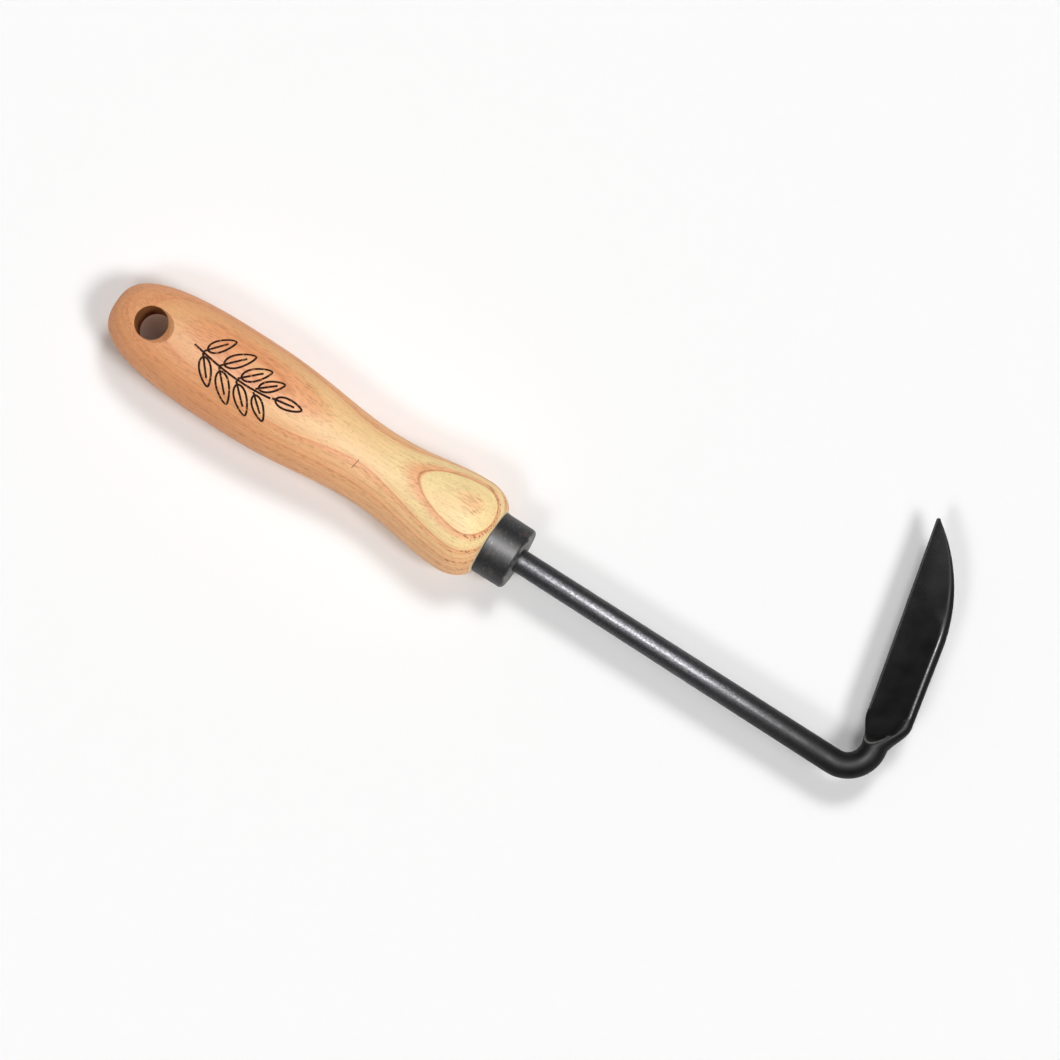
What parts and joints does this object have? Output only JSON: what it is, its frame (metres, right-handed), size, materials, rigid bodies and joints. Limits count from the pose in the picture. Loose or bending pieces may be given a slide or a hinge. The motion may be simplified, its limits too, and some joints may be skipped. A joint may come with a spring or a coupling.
{
  "type": "draw hoe",
  "caption": "One-hand draw hoe: a round forged steel shank bent to a flat, pointed hook blade, set in a turned ash handle with a steel ferrule and a hang hole.",
  "frame": {"origin": "the centre of the hang hole, on the handle's axis", "axes": "+X along the tool from the butt to the bend, +Y the way the blade points, +Z out of the hang hole on the side where the blade's flat shows"},
  "size_m": [0.2899, 0.1008, 0.0334],
  "materials": {
    "oiled_ash": "turned and oiled, open grain",
    "ferrule_steel": "drawn steel, dark with fine scratches",
    "forged_steel": "forge-blackened, satin, finely pitted"
  },
  "bodies": {
    "root": {"handle": "oiled_ash", "ferrule": "ferrule_steel", "forged_head": "forged_steel"}
  },
  "joints": []
}
